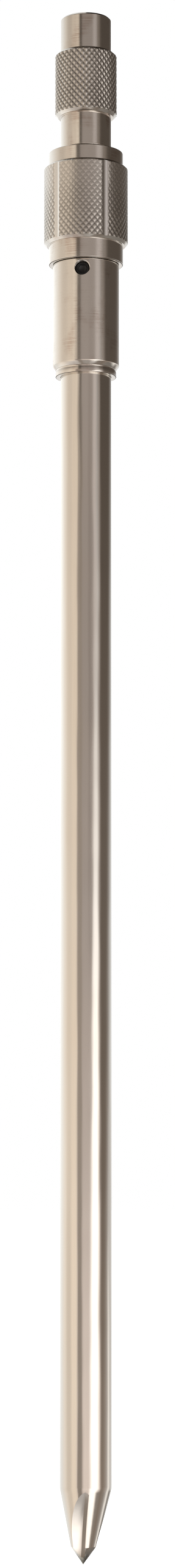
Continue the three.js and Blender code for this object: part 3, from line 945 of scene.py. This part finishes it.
class BANKSTICK_OT_lock_collar(bpy.types.Operator):
    """Builds the knurled collar with its five flutes"""

    bl_idname = "bankstick.lock_collar"
    bl_label = "Lock collar"

    def execute(self, context):
        sizes = settings().sizes
        look = settings().finishes
        blank = GRIP_RADIUS + KNURL_PROUD
        slope = GRIP_CHAMFER + KNURL_PROUD
        outline = [
            (COLLAR_BORE, COLLAR_FOOT, SOFT), (COLLAR_RADIUS - FOOT_CHAMFER, COLLAR_FOOT, KEEN),
            (COLLAR_RADIUS, COLLAR_FOOT + FOOT_CHAMFER, KEEN), (COLLAR_RADIUS, GRIP_BOTTOM, CLEAN),
            (blank - slope, GRIP_BOTTOM, CLEAN), (blank, GRIP_BOTTOM + slope, SHARP),
            (blank, GRIP_TOP - slope, SHARP), (blank - slope, GRIP_TOP, CLEAN),
            (COLLAR_RADIUS, GRIP_TOP, CLEAN), (COLLAR_RADIUS, COLLAR_TOP - NOSE_CHAMFER, KEEN),
            (COLLAR_RADIUS - NOSE_CHAMFER, COLLAR_TOP, KEEN), (NOSE_BORE + NOSE_MOUTH, COLLAR_TOP),
            (NOSE_BORE, COLLAR_TOP - NOSE_MOUTH), (NOSE_BORE, SEAL_TOP, SHARP),
            (SEAL_GROOVE, SEAL_TOP, SHARP), (SEAL_GROOVE, SEAL_BOTTOM, SHARP),
            (NOSE_BORE, SEAL_BOTTOM, SHARP), (NOSE_BORE, COLLAR_SHOULDER, SHARP),
            (COLLAR_BORE, COLLAR_SHOULDER, SOFT),
        ]
        depth = sizes.grip_knurl_depth / MM
        diamonds = knurl(
            GRIP_RADIUS, GRIP_BOTTOM, GRIP_TOP, 2 * OVERRUN, sizes.grip_knurl_round,
            sizes.grip_knurl_pitch / MM, depth, GRIP_CREST,
            lambda up: 1.0 - GRIP_FADE * up * up * (3 - 2 * up),
        )
        flute = rod(GRIP_FLUTE_RADIUS, GRIP_BOTTOM - OVERRUN, GRIP_TOP + OVERRUN)
        stand = Matrix.Translation((0, -GRIP_FLUTE_AT * MM, 0))
        flutes = ring_of(
            GRIP_FLUTE_COUNT, GRIP_FLUTE_DEG, flute, stand, sides=GRIP_FLUTE_SIDES
        )
        collar = cut(turn(outline, sizes.easing), diamonds, *flutes)
        axes = [
            (turned_by(GRIP_FLUTE_DEG + 360 * i / GRIP_FLUTE_COUNT) @ stand).translation.xy
            for i in range(GRIP_FLUTE_COUNT)
        ]

        def finish_of(face):
            if not knurled_side(face, GRIP_BOTTOM, GRIP_TOP, GRIP_INSIDE):
                return 0
            middle = face.calc_center_median().xy
            nearest = min((middle - axis).length for axis in axes)
            return 2 if nearest < (GRIP_FLUTE_RADIUS + 2 * FACE_MARGIN) * MM else 1

        finishes = [
            # Painted shade at the collar's foot, where it meets the sleeve
            turned_steel("collar_steel", [FOOT_SHADE_RING]),
            knurled_finish(
                "grip_steel", look.grip_roughness, GRIP_RADIUS, depth, look.grip_dirt_and_shade
            ),
            milled_steel(),
        ]
        place(
            "collar_body", collar, "lock_collar", "lock_collar", finishes,
            finish_of,
        )
        return {"FINISHED"}


class BANKSTICK_OT_wiper_ring(bpy.types.Operator):
    """Builds the rubber ring in the collar's nose"""

    bl_idname = "bankstick.wiper_ring"
    bl_label = "Wiper ring"

    def execute(self, context):
        section = (WIPER_TOP - WIPER_BOTTOM) / 2
        middle = WIPER_RADIUS - section
        angles = [FULL_TURN * i / WIPER_STEPS for i in range(WIPER_STEPS)]
        ring = turn([
            (middle + section * math.cos(angle), WIPER_HEIGHT + section * math.sin(angle))
            for angle in angles
        ])
        finish = moulded_finish("black_rubber", settings().finishes.rubber, 0.6, MOULDED)
        place("wiper_body", ring, "lock_collar", "wiper_ring", [finish])
        return {"FINISHED"}


class BANKSTICK_OT_inner_tube(bpy.types.Operator):
    """Builds the inner tube"""

    bl_idname = "bankstick.inner_tube"
    bl_label = "Inner tube"

    def execute(self, context):
        tube = turn([
            (INNER_BORE, INNER_BOTTOM, BROKEN), (INNER_RADIUS, INNER_BOTTOM, BROKEN),
            (INNER_RADIUS, INNER_TOP, BROKEN), (INNER_BORE, INNER_TOP, BROKEN),
        ])
        place(
            "inner_tube_wall", tube, "inner_stage", "inner_tube", [bright_steel()]
        )
        return {"FINISHED"}


class BANKSTICK_OT_stage_head(bpy.types.Operator):
    """Builds the knurled head with its threaded socket"""

    bl_idname = "bankstick.stage_head"
    bl_label = "Head"

    def execute(self, context):
        sizes = settings().sizes
        look = settings().finishes
        blank = BAND_RADIUS + KNURL_PROUD
        slope = BAND_CHAMFER + KNURL_PROUD
        outline = [
            (0, HEAD_BORE_POINT), (HEAD_BORE, INNER_TOP, SHARP), (HEAD_BORE, HEAD_BOTTOM, BROKEN),
            (NECK_RADIUS - NECK_CHAMFER, HEAD_BOTTOM), (NECK_RADIUS, HEAD_BOTTOM + NECK_CHAMFER),
            (NECK_RADIUS, NECK_TOP, CLEAN), (blank - slope, NECK_TOP, CRISP),
            (blank, NECK_TOP + slope, SHARP), (blank, BAND_TOP - slope, SHARP),
            (blank - slope, BAND_TOP, CRISP), (NECK_RADIUS, BAND_TOP, CLEAN),
            (NECK_RADIUS, HEAD_TOP - CROWN_CHAMFER), (NECK_RADIUS - CROWN_CHAMFER, HEAD_TOP),
            (SOCKET_BORE + SOCKET_MOUTH, HEAD_TOP), (SOCKET_BORE, HEAD_TOP - SOCKET_MOUTH),
            (SOCKET_BORE, SOCKET_FLOOR, SHARP), (0, SOCKET_POINT),
        ]
        depth = sizes.head_knurl_depth / MM
        diamonds = knurl(
            BAND_RADIUS, NECK_TOP, BAND_TOP, OVERRUN, sizes.head_knurl_round,
            sizes.head_knurl_pitch / MM, depth, BAND_CREST,
        )
        head = cut(turn(outline, sizes.easing), diamonds, helix(*SOCKET_THREAD))
        finishes = [
            turned_steel("head_steel"),
            knurled_finish(
                "band_steel", look.band_roughness, BAND_RADIUS, depth, look.band_dirt_and_shade
            ),
        ]
        place(
            "head_body", head, "inner_stage", "stage_head", finishes,
            lambda face: int(knurled_side(face, NECK_TOP, BAND_TOP, BAND_INSIDE)),
        )
        return {"FINISHED"}


class BANKSTICK_OT_hidden_pieces(bpy.types.Operator):
    """Gives the pieces inside the stick their finishes"""

    bl_idname = "bankstick.hidden_pieces"
    bl_label = "Hidden pieces"

    def execute(self, context):
        look = settings().finishes
        natural = moulded_finish("natural_acetal", look.acetal, 0.45, TURNED)
        finishes = {
            "guide_bush": natural,
            "clamp_collet": natural,
            "glide_ring": natural,
            "foot_plug": moulded_finish("black_acetal", look.black_acetal, 0.4, TURNED),
            "thrust_washer": bright_steel(),
        }
        for node, finish in finishes.items():
            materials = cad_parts[node].data.materials
            materials.clear()
            materials.append(finish)
        return {"FINISHED"}


# Stage

# In metres
LAMP_SIZE = 1.2
LAMP_PLACE = (-0.5, -0.5, 1.4)
LAMP_AIM = (0, 0, 0.2)
CLIP_START = 0.01

SENSOR_WIDTH = 36
FLOOR_GLOW = (0.8, 0.8, 0.8)

# What stands round the stick, as the steel mirrors it. Angles are in degrees: round from the
# front towards +X, and up. A card has its left and right edge, each a place, a lean for each
# degree up and a softness, then its foot, its top and how softly they fade, its tint, and how
# bright it is at some heights. Tints and levels were worked out from colours read off the
# photo at 15 heights.
LOWEST, HIGHEST = -60, 60
FULL_HEIGHT = (LOWEST, HIGHEST, 0)
LEAN_FROM, LEAN_TO = -7, 30
BEHIND = (165, 175)
FLOOR_FADE = (-50, -30)
CEILING_FADE = (12, 30)
ROOM_TINT = (1.0, 0.89, 0.83)
ROOM_LEVELS = (
    (-60, 0.52), (-20, 1.00), (-7, 1.13), (-3, 0.86), (0, 0.65), (4, 0.49), (9, 0.44),
    (14, 0.50), (18.5, 0.37), (30, 0.28), (50, 0.11),
)
CARDS = (
    # Left wall
    ((-175, 0, 4), (-39.5, 0.2, 9), FULL_HEIGHT, (1, 0.88, 0.75), (
        (-60, 1.15), (-7, 1.14), (-3, 1.21), (2, 1.10), (9, 1.04), (14, 0.95), (18.5, 0.79),
        (28, 0.50), (50, 0.14),
    )),
    # Fold of the wall
    ((-97, 0, 22), (-68, 0, 12), FULL_HEIGHT, (1, 0.89, 0.77), (
        (-60, 0.99), (-7, 0.91), (-4, 0.91), (-1, 1.05), (9, 0.97), (16, 0.82), (18.5, 0.63),
        (50, 0.10),
    )),
    # Left floor
    ((-106, 0, 30), (-30, 0, 6), (LOWEST, -32, 20), (1, 0.94, 0.90), (
        (-60, 0.70), (-45, 0.95), (-32, 1.15),
    )),
    # White sheet
    ((-200, 0, 10), (-112, 0, 66), FULL_HEIGHT, (1, 1.02, 1.02), (
        (-60, 1.12), (-32, 1.34), (-20, 1.10), (-7, 1.08), (0, 1.30), (9, 1.38), (14, 1.38),
        (18.5, 1.06), (22, 1.00), (50, 0.95),
    )),
    # Side of the door
    ((-38, 0, 8), (-22, -0.6, 22), FULL_HEIGHT, (1, 0.87, 0.77), (
        (-60, 0.36), (-7, 0.37), (-3, 0.41), (0, 0.46), (5, 0.44), (10, 0.44), (12, 0.36),
        (18.5, 0.28), (50, 0.09),
    )),
    # Reveal in the wall
    ((-45, 0, 6), (-30, 0, 5), (12, HIGHEST, 1.5), (1, 0.89, 0.76), (
        (9, 1.08), (14, 1.14), (16, 1.06), (18.5, 0.84), (50, 0.14),
    )),
    # Gap at the door
    ((-30, 0, 5), (-18, 0, 6), FULL_HEIGHT, (1, 0.87, 0.76), (
        (-60, 0.34), (-7, 0.37), (-3, 0.43), (0, 0.46), (9, 0.43), (11.5, 0.33), (13, 0.18),
        (19, 0.14), (50, 0.05),
    )),
    # Cupboard
    ((10, 0, 8), (26, 0, 12), (1, 14, 1.5), (1, 0.88, 0.82), (
        (0, 0.57), (4, 0.41), (9, 0.37), (14, 0.44),
    )),
    # Window
    ((27.5, 1.6, 14), (58, 0, 16), FULL_HEIGHT, (1, 0.97, 0.95), (
        (-60, 0.65), (-48, 1.30), (-32, 1.95), (0, 1.97), (3, 1.54), (6, 1.00), (9, 0.66),
        (12, 0.51), (14, 0.35), (18.5, 0.25), (50, 0.08),
    )),
    # Dark reveal
    ((54, 0, 8), (72, 0, 6), (12, HIGHEST, 1.5), (1, 0.85, 0.74), (
        (12, 0.32), (18.5, 0.24), (50, 0.10),
    )),
    # Window post
    ((33, 0, 10), (49, 0, 12), (7, HIGHEST, 1.5), (1, 0.92, 0.89), (
        (7, 0.75), (9, 0.69), (14, 0.71), (18.5, 0.52), (50, 0.10),
    )),
    # Bright corner
    ((112, 2.3, 52), (200, 0, 10), FULL_HEIGHT, (1, 1.02, 1.03), (
        (-60, 0.96), (-7, 0.94), (4, 0.94), (9, 0.82), (13, 0.66), (16, 0.45), (19, 0.33),
        (50, 0.10),
    )),
    # Dark curtain
    ((67, 0, 14), (122, 2.3, 62), FULL_HEIGHT, (1, 0.83, 0.70), (
        (-60, 0.23), (-34, 0.30), (-7, 0.34), (-3, 0.26), (0, 0.21), (4, 0.19), (9, 0.14),
        (13, 0.12), (19, 0.10), (50, 0.04),
    )),
    # Window sill
    ((49, 0, 16), (72, 0, 8), (LOWEST, -8, 26), (1, 0.87, 0.77), (
        (-60, 0.28), (-14, 0.34),
    )),
    # Pale jamb
    ((112, 0, 8), (127, 0, 12), (LOWEST, -2.5, 1.5), (1, 0.98, 0.95), (
        (-60, 1.00), (-7, 1.22), (50, 0.30),
    )),
    # Grey corner
    ((129, 0, 6), (146, 0, 10), (LOWEST, 0, 1.5), (1, 0.98, 0.96), (
        (-60, 0.85), (-7, 0.78), (50, 0.30),
    )),
    # Shaded floor in front
    ((-16, 0, 8), (25, 0, 12), (LOWEST, -36, 20), (1, 0.94, 0.89), (
        (-60, 0.48), (-36, 0.44),
    )),
    # Right floor
    ((90, 0, 12), (168, 0, 12), (LOWEST, -22, 10), (1, 0.93, 0.86), (
        (-60, 0.31), (-30, 0.24),
    )),
    # Far right floor
    ((131, 0, 12), (164, 0, 10), (LOWEST, -10, 8), (1, 0.94, 0.88), (
        (-60, 0.30), (-30, 0.24), (-14, 0.30),
    )),
)


def linked(name, data):
    item = bpy.data.objects.new(name, data)
    bpy.context.scene.collection.objects.link(item)
    return item


class BANKSTICK_OT_stage(bpy.types.Operator):
    """Builds the floor, the studio light and the camera"""

    bl_idname = "bankstick.stage"
    bl_label = "Stage"

    def execute(self, context):
        stage = settings().stage
        self.floor(stage)
        self.world(context)
        self.lamp(stage)
        self.camera(context, stage)
        context.scene.view_settings.view_transform = "Standard"
        return {"FINISHED"}

    def floor(self, stage):
        """A pale floor that the camera sees white, with the stick's shadow kept."""
        plane = bmesh.new()
        bmesh.ops.create_grid(plane, x_segments=1, y_segments=1, size=stage.floor_size / 2)
        data = bpy.data.meshes.new("floor")
        plane.to_mesh(data)
        plane.free()
        item = linked("floor", data)
        item.visible_glossy = False
        finish, net, shader = new_finish("pale_floor")
        shader.inputs["Base Color"].default_value = (*stage.floor_colour, 1)
        shader.inputs["Roughness"].default_value = 0.9
        shader.inputs["Specular IOR Level"].default_value = 0.0
        shader.inputs["Emission Strength"].default_value = 1.0
        (seen,) = net.light_path("Camera")
        net.feed(shader.inputs["Emission Color"], net.blend(seen, (0, 0, 0), FLOOR_GLOW))
        data.materials.append(finish)

    def world(self, context):
        """White for the camera, and for metal the studio: walls, a window, a dark curtain."""
        world = bpy.data.worlds.new("studio")
        context.scene.world = world
        world.use_nodes = True
        net = Net(world.node_tree)
        background = world.node_tree.nodes["Background"]
        at = net.node("ShaderNodeTexCoord")
        x, y, z = net.parts(Value(net, at.outputs["Generated"]))
        turned = net.math("ARCTAN2", x, 0 - y) * math.degrees(1)
        raised = net.math("ARCSINE", z) * math.degrees(1)
        leaning = net.math("MINIMUM", net.math("MAXIMUM", raised, LEAN_FROM), LEAN_TO)
        height = (raised - LOWEST) / (HIGHEST - LOWEST)

        def tone(tint, levels):
            stops = [
                ((up - LOWEST) / (HIGHEST - LOWEST), [level * part for part in tint])
                for up, level in levels
            ]
            made = net.node("ShaderNodeValToRGB", {"stops": stops}, Fac=height)
            return Value(net, made.outputs[0])

        def edge(at_deg, lean, softness):
            """0 to the left of a leaning edge, 1 to its right."""
            line = turned - lean * leaning
            return net.ease(line, at_deg - softness / 2, at_deg + softness / 2)

        mirrored = tone(ROOM_TINT, ROOM_LEVELS)
        for left, right, (foot, top, fade), tint, levels in CARDS:
            inside = edge(*left) - edge(*right)
            if foot > LOWEST:
                inside = inside * net.ease(raised, foot, foot + fade)
            if top < HIGHEST:
                inside = inside * (1 - net.ease(raised, top - fade, top))
            mirrored = net.blend(inside, mirrored, tone(tint, levels))
        behind = net.ease(net.math("ABSOLUTE", turned), *BEHIND)
        middle = net.ease(raised, *FLOOR_FADE) - net.ease(raised, *CEILING_FADE)
        camera, glossy, through = net.light_path("Camera", "Glossy", "Transmission")
        plain = net.math("MAXIMUM", camera, (glossy + through) * behind * middle)
        net.feed(background.inputs["Color"], net.blend(plain, mirrored, (1, 1, 1)))
        background.inputs["Strength"].default_value = 1.0

    def lamp(self, stage):
        """A soft lamp overhead, which metal doesn't mirror."""
        data = bpy.data.lights.new("soft_lamp", "AREA")
        data.shape = "DISK"
        data.size = LAMP_SIZE
        data.energy = stage.lamp_power
        item = linked("soft_lamp", data)
        item.location = LAMP_PLACE
        aim = Vector(LAMP_AIM) - item.location
        item.rotation_euler = aim.to_track_quat("-Z", "Y").to_euler()
        item.visible_glossy = False

    def camera(self, context, stage):
        data = bpy.data.cameras.new("camera")
        data.sensor_width = SENSOR_WIDTH
        data.lens = stage.camera_lens
        data.clip_start = CLIP_START
        item = linked("camera", data)
        item.location = stage.camera_place
        item.rotation_euler = (math.radians(90) + stage.camera_tilt, 0, 0)
        context.scene.camera = item


PIECES = (
    BANKSTICK_OT_ground_point,
    BANKSTICK_OT_outer_tube,
    BANKSTICK_OT_lock_sleeve,
    BANKSTICK_OT_grub_screw,
    BANKSTICK_OT_lock_collar,
    BANKSTICK_OT_wiper_ring,
    BANKSTICK_OT_inner_tube,
    BANKSTICK_OT_stage_head,
    BANKSTICK_OT_hidden_pieces,
    BANKSTICK_OT_stage,
)


class BANKSTICK_PT_pieces(bpy.types.Panel):
    """Lists the pieces of the bank stick"""

    bl_idname = "BANKSTICK_PT_pieces"
    bl_label = "Bank stick"
    bl_space_type = "VIEW_3D"
    bl_region_type = "UI"
    bl_category = "Bank stick"

    def draw(self, context):
        for piece in PIECES:
            self.layout.operator(piece.bl_idname)
        for group in ("sizes", "finishes", "stage"):
            box = self.layout.box()
            held = getattr(context.scene.bank_stick, group)
            for name in held.bl_rna.properties.keys():
                if name not in ("rna_type", "name"):
                    box.prop(held, name)


CLASSES = (
    SizeSettings,
    FinishSettings,
    StageSettings,
    BankStickSettings,
    *PIECES,
    BANKSTICK_PT_pieces,
)


def register():
    for item in CLASSES:
        bpy.utils.register_class(item)
    bpy.types.Scene.bank_stick = PointerProperty(
        type=BankStickSettings, name="Bank stick", description="Settings of the bank stick"
    )


def unregister():
    del bpy.types.Scene.bank_stick
    for item in reversed(CLASSES):
        bpy.utils.unregister_class(item)


def main():
    register()
    for piece in PIECES:
        group, name = piece.bl_idname.split(".")
        getattr(getattr(bpy.ops, group), name)()


if __name__ == "__main__":
    main()
